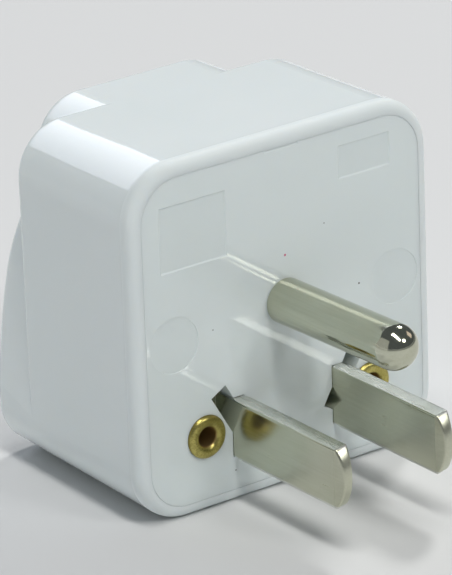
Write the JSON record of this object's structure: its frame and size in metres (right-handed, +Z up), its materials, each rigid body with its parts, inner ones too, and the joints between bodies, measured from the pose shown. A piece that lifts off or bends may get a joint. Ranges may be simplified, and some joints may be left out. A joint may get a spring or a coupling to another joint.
{
  "type": "plug adapter",
  "caption": "Grounded travel plug adapter: rounded block with flat blades and a round earth pin in front and a universal socket end behind.",
  "frame": {"origin": "on the plug face, midway between the two flat blades", "axes": "-Y the way the pins go into a wall socket, +Y back to the socket end, +Z up towards the ground pin, +X to the right as seen from the pins"},
  "size_m": [0.0374, 0.0459, 0.0379],
  "materials": {
    "housing_plastic": "polished white moulding",
    "cover_plastic": "polished white moulding",
    "nickel_plate": "bright nickel plate, faintly brushed",
    "rivet_brass": "dull rolled brass",
    "contact_brass": "plain brass strip"
  },
  "bodies": {
    "root": {"housing": "housing_plastic", "plug_cover": "cover_plastic", "line_blade": "nickel_plate", "neutral_blade": "nickel_plate", "ground_pin": "nickel_plate", "contact_rivets": "rivet_brass", "line_contact": "contact_brass", "neutral_contact": "contact_brass", "earth_contact": "contact_brass"}
  },
  "joints": []
}
